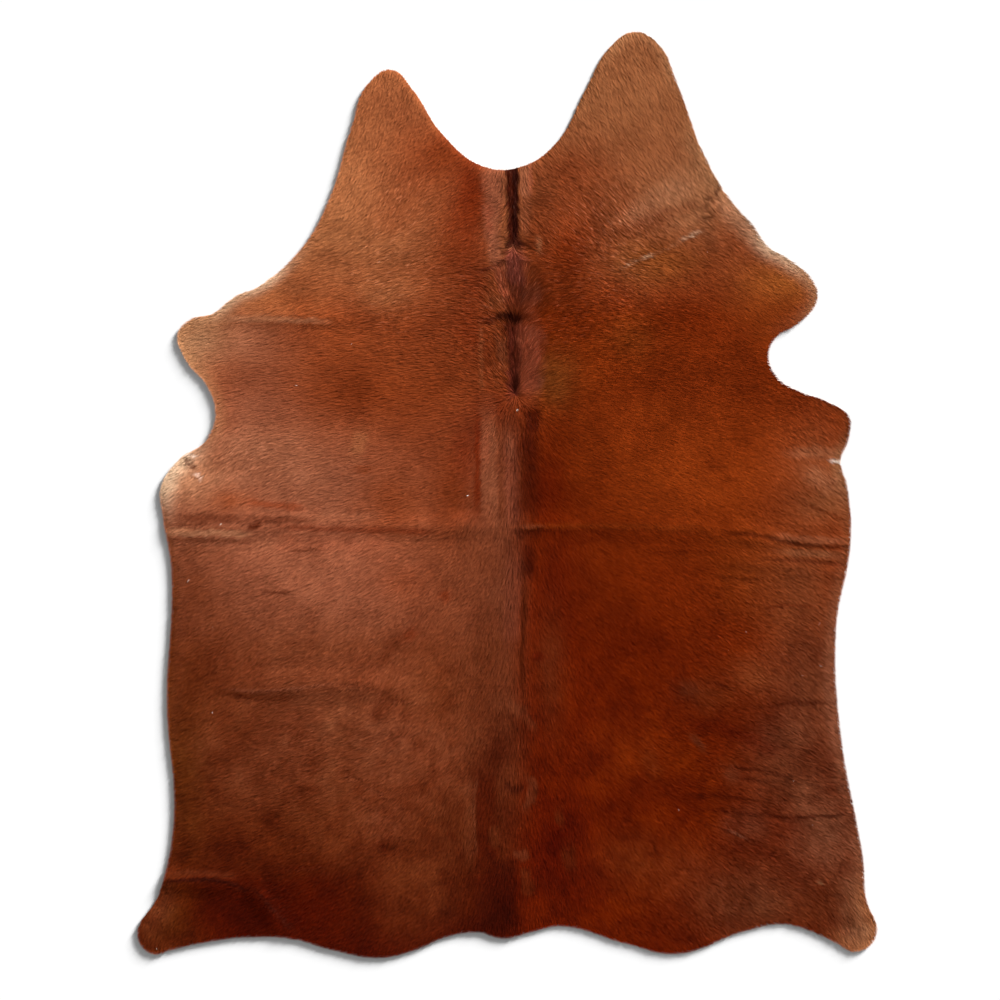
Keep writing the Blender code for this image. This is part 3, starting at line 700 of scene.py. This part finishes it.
class Maps:
    """Height of the CAD solid's top and distance to the edge, on a fine grid over the hide."""

    def __init__(self):
        places, triangles = hide_triangles()
        self.loop = rounded(edge_loop(places, triangles))
        self.low = self.loop.min(0) - MAP_MARGIN
        count = np.ceil((self.loop.max(0) + MAP_MARGIN - self.low) / MAP_PITCH).astype(int) + 1
        xs, ys = (self.low[k] + MAP_PITCH * np.arange(count[k]) for k in (0, 1))
        self.x, self.y = np.meshgrid(xs, ys, indexing="ij")
        self.inside = self.distances()
        self.height = self.heights(places, triangles)

    def distances(self):
        """Distance to the outline, positive inside it."""
        px, py = self.x.ravel(), self.y.ravel()
        nearest = np.full(px.shape, np.inf)
        crossings = np.zeros(px.shape, int)
        for (x0, y0), (x1, y1) in zip(self.loop, np.roll(self.loop, -1, axis=0)):
            dx, dy = x1 - x0, y1 - y0
            along = np.clip(((px - x0) * dx + (py - y0) * dy) / (dx * dx + dy * dy + 1e-18), 0, 1)
            away = (px - x0 - along * dx) ** 2 + (py - y0 - along * dy) ** 2
            np.minimum(nearest, away, out=nearest)
            if y0 != y1:
                spans = (py >= min(y0, y1)) & (py < max(y0, y1))
                crossings += spans & (px < x0 + (py - y0) * dx / dy)
        signed = np.sqrt(nearest) * np.where(crossings % 2 == 1, 1, -1)
        return signed.reshape(self.x.shape)

    def heights(self, places, triangles):
        """Height of the CAD solid's top, rounded off. Off the hide it runs on level."""
        tree = BVHTree.FromPolygons([tuple(p) for p in places], [tuple(t) for t in triangles])
        above = float(places[:, 2].max()) + CM
        height, weight = np.zeros((2, *self.x.shape))
        for i, j in zip(*np.nonzero(self.inside > 0)):
            hit = tree.ray_cast((self.x[i, j], self.y[i, j], above), (0, 0, -1))[0]
            if hit is not None:
                height[i, j] = hit.z
                weight[i, j] = 1
        reach = int(3 * MAP_BLUR / MAP_PITCH)  # past this the bell curve is nearly zero
        kernel = np.exp(-0.5 * (np.arange(-reach, reach + 1) * MAP_PITCH / MAP_BLUR) ** 2)
        kernel /= kernel.sum()
        for axis in (0, 1):
            height, weight = (np.apply_along_axis(np.convolve, axis, field, kernel, mode="same")
                              for field in (height, weight))
        least = 1e-3  # a place with less of the hide round it is off the hide
        return np.where(weight > least, height / np.maximum(weight, least), LEATHER + LAID_HAIR)

    def read(self, field, x, y):
        """A map's value at any place, between its grid points."""
        u = np.clip((x - self.low[0]) / MAP_PITCH, 0, field.shape[0] - 1.001)
        v = np.clip((y - self.low[1]) / MAP_PITCH, 0, field.shape[1] - 1.001)
        i, j = u.astype(int), v.astype(int)
        fu, fv = u - i, v - j
        near = field[i, j] * (1 - fu) + field[i + 1, j] * fu
        far = field[i, j + 1] * (1 - fu) + field[i + 1, j + 1] * fu
        return near * (1 - fv) + far * fv

    def depth(self, x, y):
        """Distance to the hide's edge at any place, positive inside it."""
        return self.read(self.inside, x, y)

    def inward(self, x, y):
        """The direction that leads straight away from the nearest edge, into the hide."""
        step = MAP_PITCH / 2
        gx = self.depth(x + step, y) - self.depth(x - step, y)
        gy = self.depth(x, y + step) - self.depth(x, y - step)
        size = np.maximum(np.hypot(gx, gy), 1e-9)
        return gx / size, gy / size


maps = Maps()


def curve_through(points, steps=5):
    """A smooth run of places through a row's own ones, in metres."""
    knots = np.reshape(points, (-1, 2)) * CM
    ends = np.concatenate([[2 * knots[0] - knots[1]], knots, [2 * knots[-1] - knots[-2]]])
    run = []
    for before, start, end, after in zip(ends, ends[1:], ends[2:], ends[3:]):
        for t in np.arange(steps) / steps:
            turn = start + 0.5 * t * (end - before)
            bend = 0.5 * t * t * (2 * before - 5 * start + 4 * end - after)
            twist = 0.5 * t**3 * (3 * start - before - 3 * end + after)
            run.append(turn + bend + twist)
    return np.array(run + [knots[-1]])


def beside(x, y, row, narrow=1):
    """The places near a row's line: their numbers, how far each lies across it in half widths, and how
    much the row counts there, which fades towards the line's ends."""
    points = curve_through(row.points)
    half_width = row.half_width * CM
    wander = np.clip(WANDER_SHARE * half_width, *WANDER)
    margin = LINE_REACH * half_width + wander
    low, high = points.min(0) - margin, points.max(0) + margin
    near = np.flatnonzero((x > low[0]) & (x < high[0]) & (y > low[1]) & (y < high[1]))
    px, py = (place[near] + wander * noise(x[near], y[near], WANDER_SIZE, seed)
              for place, seed in ((x, 90), (y, 95)))
    nearest = np.full(px.shape, np.inf)
    across = np.zeros(px.shape)
    run = np.zeros(px.shape)
    passed = 0.0
    for (x0, y0), (x1, y1) in zip(points[:-1], points[1:]):
        length = np.hypot(x1 - x0, y1 - y0)
        ux, uy = (x1 - x0) / length, (y1 - y0) / length
        along = np.clip((px - x0) * ux + (py - y0) * uy, 0, length)
        dx, dy = px - x0 - along * ux, py - y0 - along * uy
        away = np.hypot(dx, dy)
        closer = away < nearest
        nearest = np.where(closer, away, nearest)
        across = np.where(closer, np.sign(dy * ux - dx * uy) * away, across)
        run = np.where(closer, passed + along, run)
        passed += length
    taper = min(row.taper * CM, passed / 2)
    fade = np.ones(len(near))
    if taper:
        fade = smooth(LINE_END + (1 - LINE_END) * np.minimum(run, passed - run) / taper)
    return near, across / (half_width * (1 + (narrow - 1) * run / passed)), fade


def skin_height(x, y):
    """Height of the skin's hair side."""
    height = maps.read(maps.height, x, y) - LAID_HAIR
    for row in CREASES:
        near, across, fade = beside(x, y, row)
        height[near] += row.height * MM * np.exp(-(across**2)) * fade
    height += layered(x, y, SKIN_WAVE_SIZE, 50) * SKIN_WAVES
    return np.maximum(height, LEATHER + FLOOR_GAP)


# ---- the coat's fields

def spine_x(y):
    """The spine's own line: it leans a little to the right towards the rump."""
    return (SPINE_OFFSET - SPINE_LEAN * y / HALF_HIDE) * CM


def headings(x, y):
    """Which way the hair points, in radians: the combing rows mixed by nearness, then ruffled."""
    out = x - spine_x(y)
    side = np.where(out < 0, -1.0, 1.0)
    east, north = np.zeros((2, *x.shape))
    for row in COMBS:
        for mirror in (1.0, -1.0):
            dx = out - mirror * row.out * CM
            dy = y - row.y * CM
            weight = 1 / ((dx * dx + dy * dy) / (row.reach * CM) ** 2 + 0.3) ** 2
            east += weight * mirror * cos(radians(row.heading))
            north += weight * sin(radians(row.heading))
            if row.out == 0:
                break
    ruffle = RUFFLE * layered(x, y, RUFFLE_SIZE, 60) + FINE_RUFFLE * noise(x, y, FINE_RUFFLE_SIZE, 66)
    return np.arctan2(north, east) + ruffle * side


def linear(srgb):
    c = np.asarray(srgb, float) / 255
    return np.where(c <= 0.04045, c / 12.92, ((c + 0.055) / 1.055) ** 2.4)


def within(x, y, row):
    """The places near a row's middle: their numbers, and how much the row counts there."""
    u = (x - row.x * CM) / (row.reach_x * CM)
    v = (y - row.y * CM) / (row.reach_y * CM)
    away = u * u + v * v
    near = np.flatnonzero(away < 5)  # past this the row counts less than a hundredth
    return near, np.exp(-away[near])


def grains(x, y):
    """How much single hairs show at each place."""
    grain = np.full(len(x), PLAIN_GRAIN)
    for row in GRAINS:
        near, share = within(x, y, row)
        grain[near] += row.change * share
    return np.maximum(grain, 0.1)


def column(values):
    """One number for each place, ready to multiply the places' colours."""
    return values[:, None].astype(np.float32)


def ground_colour(x, y, bent_y):
    """The colours of the two sides, which pass into each other at the spine."""
    across = smooth(((x - spine_x(y)) / CM + SPINE_BLEND) / (2 * SPINE_BLEND))
    heights = [row.y * CM for row in GROUNDS]
    colour = np.empty((len(x), 3), np.float32)
    for k in range(3):
        left, right = (np.interp(bent_y, heights, [linear(TINTS[tint])[k] for tint in tints])
                       for tints in ([row.left for row in GROUNDS], [row.right for row in GROUNDS]))
        colour[:, k] = left + (right - left) * across
    return colour


def painted(x, y, streak, fine, tuft):
    """The ground with the patches, rims, strokes and the shade of the creases laid on it in turn."""
    bent_x, bent_y = (place + BEND * layered(x, y, BEND_SIZE, seed) for place, seed in ((x, 70), (y, 75)))
    colour = ground_colour(x, y, bent_y)

    def mix(near, tint, share):
        share = column(np.clip(share, 0, 1))
        colour[near] += (linear(TINTS[tint]).astype(np.float32) - colour[near]) * share

    for row in PATCHES:
        near, share = within(bent_x, bent_y, row)
        mix(near, row.tint, row.strength * share)
    depth = np.maximum(maps.depth(x, y), 0)
    for row in RIMS:
        near, share = within(x, y, row)
        fade = np.exp(-((depth[near] / (row.depth * CM)) ** 2))
        mix(near, row.tint, row.strength * np.minimum(1.6 * share, 1) * fade)
    for row in STROKES:
        near, across, fade = beside(x, y, row, row.narrow)
        spread = min(0.15 / row.half_width, 0.3)  # tufts reach about 1.5 mm past the edge
        ragged = np.abs(across) + spread * (streak[near] + 0.7 * tuft[near])
        share = smooth((1 + row.soft - ragged) / (2 * row.soft))
        share *= 1 - row.broken * np.clip(0.9 - 1.2 * fine[near], 0, 1)
        mix(near, row.tint, row.strength * share * fade)
    for row in CREASES:
        near, across, fade = beside(x, y, row)
        mix(near, "umber", row.shade * np.exp(-(across**2)) * fade)
    return colour


def colours(x, y, heading):
    """The coat's colour at each place, linear: the painted hide, mottled and streaked, with painted sheen and
    glints, and painted shade on the edges that face the key.
    """
    streak, fine, tuft = (combed(x, y, heading, *sizes, seed) for sizes, seed in (
        (STREAKS, 100), (FINE_STREAKS, 110), (TUFTS, 120)))
    colour = painted(x, y, streak, fine, tuft)

    grain = grains(x, y)
    rear = smooth((-y / CM - REAR_START) / REAR_REACH)
    cloud = layered(x, y, CLOUD_SIZE, 80, 2)
    blotch = layered(x, y, BLOTCH_SIZE, 86, 2)
    # mottling: partly the coat's own blotches, partly painted sheen and shade where the hair lies differently
    brightness = 1 + (0.2 + 0.12 * rear) * cloud + (0.1 + 0.14 * rear) * blotch
    brightness += grain * (0.1 * streak + 0.4 * fine + 0.05 * tuft)
    colour *= column(np.clip(brightness, *BRIGHTNESS))
    sheen = 0.3 * (0.4 + rear) * (0.6 * blotch + cloud)  # painted sheen: where the coat is lighter it is also less red
    colour *= 1 + column(sheen) * np.array(SHEEN, np.float32)
    glint = np.clip(fine + 0.5 * streak - 0.6, 0, 1) * np.clip(grain - 0.5, 0, 1)  # painted glints on single hairs
    light = colour @ np.array(LIGHTNESS, np.float32)
    colour += column(glint) * (light[:, None] * np.array(GLINT, np.float32))

    inside = maps.depth(x, y)
    near = np.flatnonzero(inside < 2 * LIT_RIM)
    inward_x, inward_y = maps.inward(x[near], y[near])
    facing = np.clip(-inward_x * cos(KEY_AZIMUTH) - inward_y * sin(KEY_AZIMUTH), 0, 1)
    shade = RIM_SHADE * facing * np.exp(-((np.maximum(inside[near], 0) / LIT_RIM) ** 2))
    colour[near] *= 1 - column(shade)
    return colour * SELF_SHADE


def coat_shares(x, y):
    """The length and the lift of the hair at each place, as shares of the usual ones."""
    length, lift = np.ones((2, *x.shape))
    for row in COATS:
        near, share = within(x, y, row)
        length[near] += (row.length - 1) * share
        lift[near] += (row.lift - 1) * share
    for row in STROKES:
        if row.half_width <= FINE_LINE:
            near, across, fade = beside(x, y, row, row.narrow)
            length[near] *= 1 - SHORTER * smooth(2.2 - np.abs(across)) * fade
    return length, lift


# ---- materials

def new_material(name, **values):
    """A material, its node tree and its shader, with values for the shader's inputs."""
    material = bpy.data.materials.new(name)
    material.use_nodes = True
    shader = material.node_tree.nodes["Principled BSDF"]
    set_inputs(shader, **values)
    return material, material.node_tree, shader


def set_inputs(node, **values):
    """Sets a node's inputs. An underscore stands for a space in an input's name."""
    for name, value in values.items():
        node.inputs[name.replace("_", " ")].default_value = value


def add(tree, kind, **values):
    node = tree.nodes.new("ShaderNode" + kind)
    set_inputs(node, **values)
    return node


def join(tree, *wires):
    """Links nodes. Each wire is a node, its output, another node and its input."""
    for source, output, target, socket in wires:
        tree.links.new(source.outputs[output], target.inputs[socket])


def add_tone(tree):
    """The coat's colour, kept at each vertex."""
    tone = add(tree, "Attribute")
    tone.attribute_name = "tone"
    return tone


def add_noise(tree, **values):
    """Noise in the piece's own coordinates."""
    place = add(tree, "TexCoord")
    grainy = add(tree, "TexNoise", **values)
    join(tree, (place, "Object", grainy, "Vector"))
    return grainy


def add_ramp(tree, source, stops):
    """Turns a noise into a range of colours between two stops, each a level and a linear colour."""
    ramp = add(tree, "ValToRGB")
    for element, (level, colour) in zip(ramp.color_ramp.elements, stops):
        element.position = level
        element.color = (*colour, 1)
    join(tree, (source, "Fac", ramp, "Fac"))
    return ramp


def set_base(tree, shader, blend, factor, under, over):
    """Gives the shader a blend of two colours, each from a node and its output."""
    mix = tree.nodes.new("ShaderNodeMix")
    mix.data_type = "RGBA"
    mix.blend_type = blend
    set_inputs(mix, Factor=factor)
    join(tree, (*under, mix, "A"), (*over, mix, "B"), (mix, "Result", shader, "Base Color"))


def set_relief(tree, shader, source, **values):
    """Gives the shader a fine relief from a noise."""
    bump = add(tree, "Bump", **values)
    join(tree, (source, "Fac", bump, "Height"), (bump, "Normal", shader, "Normal"))


def hair_material():
    """Glossy hair in the coat's colours."""
    material, tree, shader = new_material(
        "short_hair", Roughness=0.5, Specular_IOR_Level=0.14, Specular_Tint=(1.0, 0.4, 0.2, 1.0))
    join(tree, (add_tone(tree), "Color", shader, "Base Color"))
    return material


def skin_material():
    """What shows between the hairs: the same colours, darker, with fine dark gaps."""
    material, tree, shader = new_material("skin_under_hair", Roughness=0.75, Specular_IOR_Level=0.05)
    gaps = add_noise(tree, Scale=420, Detail=2)
    shades = add_ramp(tree, gaps, ((0.3, (0.45, 0.4, 0.38)), (0.7, (0.95, 0.9, 0.88))))
    set_base(tree, shader, "MULTIPLY", 1.0, (add_tone(tree), "Color"), (shades, "Color"))
    set_relief(tree, shader, gaps, Strength=0.5, Distance=0.6 * MM)
    return material


def suede_material(name, pale, dark):
    """Napped flesh side or cut edge of the skin: mottled, with a fine nap."""
    material, tree, shader = new_material(name, Roughness=0.9)
    clouds = add_noise(tree, Scale=9, Detail=6, Roughness=0.62)
    nap = add_noise(tree, Scale=650, Detail=3)
    shades = add_ramp(tree, clouds, ((0.32, linear(dark)), (0.68, linear(pale))))
    set_base(tree, shader, "OVERLAY", 0.35, (shades, "Color"), (nap, "Fac"))
    set_relief(tree, shader, nap, Strength=0.6, Distance=0.5 * MM)
    return material


# ---- meshes

def mesh_from(name, places, faces, materials):
    """A mesh object from arrays. faces is a list of (N, corners) index arrays."""
    mesh = bpy.data.meshes.new(name)
    sizes = np.concatenate([np.full(len(f), f.shape[1]) for f in faces])
    corners = np.concatenate([f.ravel() for f in faces])
    mesh.vertices.add(len(places))
    mesh.vertices.foreach_set("co", np.asarray(places, np.float32).ravel())
    mesh.loops.add(len(corners))
    mesh.loops.foreach_set("vertex_index", corners.astype(np.int32))
    mesh.polygons.add(len(sizes))
    starts = np.concatenate([[0], np.cumsum(sizes)[:-1]])
    mesh.polygons.foreach_set("loop_start", starts.astype(np.int32))
    for material in materials:
        mesh.materials.append(material)
    mesh.update(calc_edges=True)
    mesh.validate()
    piece = bpy.data.objects.new(name, mesh)
    bpy.context.scene.collection.objects.link(piece)
    return piece


def set_tone(piece, values):
    layer = piece.data.color_attributes.new("tone", "FLOAT_COLOR", "POINT")
    rgba = np.ones((len(values), 4), np.float32)
    rgba[:, :3] = values
    layer.data.foreach_set("color", rgba.ravel())


def set_bake_map(piece, u, v):
    """A map for baking the materials into images, from each vertex's place on it."""
    corners = np.empty(len(piece.data.loops), np.int32)
    piece.data.loops.foreach_get("vertex_index", corners)
    layer = piece.data.uv_layers.new(name="OFBake")
    layer.uv.foreach_set("vector", np.stack([u[corners], v[corners]], 1).astype(np.float32).ravel())


def square_grid(low, high, pitch):
    """The x and the y of each point of a grid that fills a rectangle."""
    xs, ys = (np.arange(low[k], high[k], pitch) for k in (0, 1))
    return np.meshgrid(xs, ys, indexing="ij")


def moved_to_depth(x, y, depth):
    """Points moved straight in from the nearest edge, or out, until they lie that deep inside it."""
    for _ in range(4):
        short = depth - maps.depth(x, y)
        inward_x, inward_y = maps.inward(x, y)
        x = x + inward_x * short
        y = y + inward_y * short
    return x, y


def sides_of(faces):
    """The faces' sides, as pairs of vertex numbers."""
    return [np.stack([faces[:, k], np.roll(faces, -1, axis=1)[:, k]], 1) for k in range(faces.shape[1])]


def skin():
    """The skin: a grid trimmed to the hide's edge, with a hair side, a flesh side and a cut edge."""
    low, high = maps.loop.min(0) - SKIN_PITCH, maps.loop.max(0) + SKIN_PITCH
    x, y = square_grid(low, high + SKIN_PITCH, SKIN_PITCH)
    inside = maps.depth(x, y) - SKIN_INSET
    kept = inside > -0.55 * SKIN_PITCH  # the grid's points up to half a pitch off are moved onto the edge
    rim = kept & (inside < 0.5 * SKIN_PITCH)
    x[rim], y[rim] = moved_to_depth(x[rim], y[rim], SKIN_INSET)
    number = np.full(x.shape, -1)
    number[kept] = np.arange(kept.sum())
    corners = (number[:-1, :-1], number[1:, :-1], number[1:, 1:], number[:-1, 1:])
    quads = np.stack(corners, -1).reshape(-1, 4)
    missing = (quads < 0).sum(1)
    whole = quads[missing == 0]
    halves = quads[missing == 1]
    halves = halves[halves >= 0].reshape(-1, 3)
    sides = np.concatenate(sides_of(whole) + sides_of(halves))
    _, where, uses = np.unique(np.sort(sides, axis=1), axis=0, return_inverse=True, return_counts=True)
    start, end = sides[uses[where.reshape(-1)] == 1].T

    px, py = x[kept], y[kept]
    top = skin_height(px, py)
    below = len(px)  # a vertex of the flesh side comes this far after the one above it
    places = np.concatenate([np.stack([px, py, level], 1) for level in (top, top - LEATHER)])
    walls = np.stack([end, start, start + below, end + below], 1)
    hair_side = len(whole) + len(halves)
    faces = [whole, halves, whole[:, ::-1] + below, halves[:, ::-1] + below, walls]
    piece = mesh_from("hide_skin", places, faces, [
        skin_material(),
        suede_material("suede_underside", (206, 178, 150), (176, 142, 112)),
        suede_material("cut_edge", (196, 160, 126), (150, 112, 82)),
    ])
    slots = np.repeat([0, 1, 2], [hair_side, hair_side, len(walls)])
    piece.data.polygons.foreach_set("material_index", slots.astype(np.int32))
    piece.data.shade_smooth()
    tone = colours(px, py, headings(px, py))
    set_tone(piece, np.concatenate([tone, tone]))
    # The hair side fills the left of the map, and the flesh side, at half its size, stands at the right.
    span = max(np.ptp(px), np.ptp(py)) * 1.02
    u = (px - px.min()) / span * 0.6
    v = (py - py.min()) / span
    set_bake_map(piece, np.concatenate([u, u * 0.5 + 0.52]), np.concatenate([v, v * 0.5]))
    return piece


def hair_roots():
    """Places for the hairs: an even grid, shaken, kept to the hide."""
    x, y = (places.ravel() for places in square_grid(maps.loop.min(0), maps.loop.max(0), HAIR_PITCH))
    x, y = (places + rng.uniform(-ROOT_SHAKE, ROOT_SHAKE, places.shape) * HAIR_PITCH for places in (x, y))
    kept = maps.depth(x, y) > ROOT_MARGIN
    return x[kept], y[kept]


def gathered(x, y, size, seed):
    """The middle of the lock that each hair belongs to: the nearest point of a shaken lattice."""
    best = np.full(x.shape, np.inf)
    cx, cy = x.copy(), y.copy()
    iu, iv = (np.floor(place / size).astype(np.int64) for place in (x, y))
    for du in (-1, 0, 1):
        for dv in (-1, 0, 1):
            mx = (iu + du + lattice(iu + du, iv + dv, seed)) * size
            my = (iv + dv + lattice(iu + du, iv + dv, seed + 1)) * size
            away = (x - mx) ** 2 + (y - my) ** 2
            nearer = away < best
            best, cx, cy = (np.where(nearer, new, old) for new, old in ((away, best), (mx, cx), (my, cy)))
    return cx, cy


def quarters(x, y):
    """The four parts of the coat, each with its name and its hairs' numbers."""
    for half, side in zip(np.array_split(np.argsort(x, kind="stable"), 2), ("left", "right")):
        from_rump = half[np.argsort(y[half], kind="stable")]
        for part, end in zip(np.array_split(from_rump, 2), ("rump", "neck")):
            yield f"coat_{end}_{side}", part


def coat():
    """The coat: each hair lock is one slim triangle, rooted in the skin and laid along the combing."""
    x, y = hair_roots()
    count = len(x)
    heading = headings(x, y) + rng.normal(0, STRAY, count)
    length_share, lift_share = coat_shares(x, y)
    length = HAIR_LENGTH * length_share * rng.uniform(*LENGTHS, count)
    lift = HAIR_LIFT * lift_share * rng.uniform(*LIFTS, count)
    speck = np.zeros(count, bool)
    for speck_x, speck_y in LINT:
        speck |= np.hypot(x - speck_x * CM, y - speck_y * CM) < LINT_REACH
    length[speck] *= LINT_LENGTH
    lift[speck] *= LINT_LIFT

    lock_x, lock_y = gathered(x, y, LOCK_SIZE, 120)
    tip_x = x + length * np.cos(heading) + LOCK_PULL * (lock_x - x)
    tip_y = y + length * np.sin(heading) + LOCK_PULL * (lock_y - y)
    past = np.maximum(-maps.depth(tip_x, tip_y) - OVERHANG * rng.uniform(0.2, 1.0, count), 0)
    keep = np.clip(1 - past / length, LEAST_KEPT, 1)
    tip_x = x + (tip_x - x) * keep
    tip_y = y + (tip_y - y) * keep

    root = np.stack([x, y, skin_height(x, y) - ROOT_DEPTH], 1)
    tip = np.stack([tip_x, tip_y, skin_height(tip_x, tip_y) + lift], 1)
    along = np.stack([tip_x - x, tip_y - y], 1)
    along /= np.linalg.norm(along, axis=1, keepdims=True)
    half = HAIR_WIDTH * rng.uniform(*WIDTHS, count) / 2
    grain = grains(x, y)
    roll = rng.normal(0, 1, count) * (ROLLS[0] + ROLLS[1] * grain)
    tilt = np.cos(roll)
    side = np.stack([-along[:, 1] * half * tilt, along[:, 0] * half * tilt, half * np.sin(roll)], 1)

    colour = colours(x + along[:, 0] * length / 2, y + along[:, 1] * length / 2, heading)
    colour *= column(1 + rng.uniform(-1, 1, count) * (TONES[0] + TONES[1] * grain))
    colour[speck] = linear(TINTS["lint"])
    shades = np.array([ROOT_SHADE, ROOT_SHADE, TIP_TONE], np.float32)
    hair = hair_material()
    pieces = []
    for name, part in quarters(x, y):
        places = np.stack([root[part] - side[part], root[part] + side[part], tip[part]], 1).reshape(-1, 3)
        triangles = np.arange(len(places)).reshape(-1, 3)
        piece = mesh_from(name, places, [triangles], [hair])
        set_tone(piece, (colour[part][:, None, :] * shades[None, :, None]).reshape(-1, 3))
        low, span = places.min(0), np.ptp(places, axis=0)
        set_bake_map(piece, (places[:, 0] - low[0]) / span[0], (places[:, 1] - low[1]) / span[1])
        pieces.append(piece)
    return pieces


# ---- the stage

def floor():
    bpy.ops.mesh.primitive_plane_add(size=FLOOR_SIZE, location=(0, 0, 0))
    plane = bpy.context.object
    plane.name = "floor"
    white, _, _ = new_material(
        "floor_white", Base_Color=(0.92, 0.92, 0.92, 1), Roughness=0.8, Specular_IOR_Level=0.1)
    plane.data.materials.append(white)


def lights():
    """One low soft key from the right of the neck, and an even white surround."""
    level = cos(KEY_ELEVATION)
    towards = Vector((level * cos(KEY_AZIMUTH), level * sin(KEY_AZIMUTH), sin(KEY_ELEVATION)))
    data = bpy.data.lights.new("key", "SUN")
    data.angle = KEY_ANGLE
    data.energy = KEY_STRENGTH
    key = bpy.data.objects.new("key", data)
    key.rotation_euler = towards.to_track_quat("Z", "Y").to_euler()
    bpy.context.scene.collection.objects.link(key)
    world = bpy.data.worlds.new("studio")
    world.use_nodes = True
    set_inputs(world.node_tree.nodes["Background"], Color=(1, 1, 1, 1), Strength=SURROUND_STRENGTH)
    bpy.context.scene.world = world


def camera():
    """Straight above, framed so that the hide sits a little right of and above the frame's middle."""
    data = bpy.data.cameras.new("camera")
    data.lens = LENS
    data.sensor_width = SENSOR
    eye = bpy.data.objects.new("camera", data)
    low, high = CAD_BOX
    frame_width = (high.y - low.y) / FRAME_SHARE
    shift_x, shift_y = FRAME_SHIFT
    eye.location = (shift_x * frame_width, shift_y * frame_width, frame_width * data.lens / data.sensor_width)
    bpy.context.scene.collection.objects.link(eye)
    bpy.context.scene.camera = eye


def main():
    camera()
    lights()
    floor()
    bpy.context.scene.view_settings.view_transform = "Standard"
    hide_skin = skin()
    coat_pieces = coat()
    for piece in [hide_skin, *coat_pieces]:
        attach(piece, "root")
    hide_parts("hide")


main()
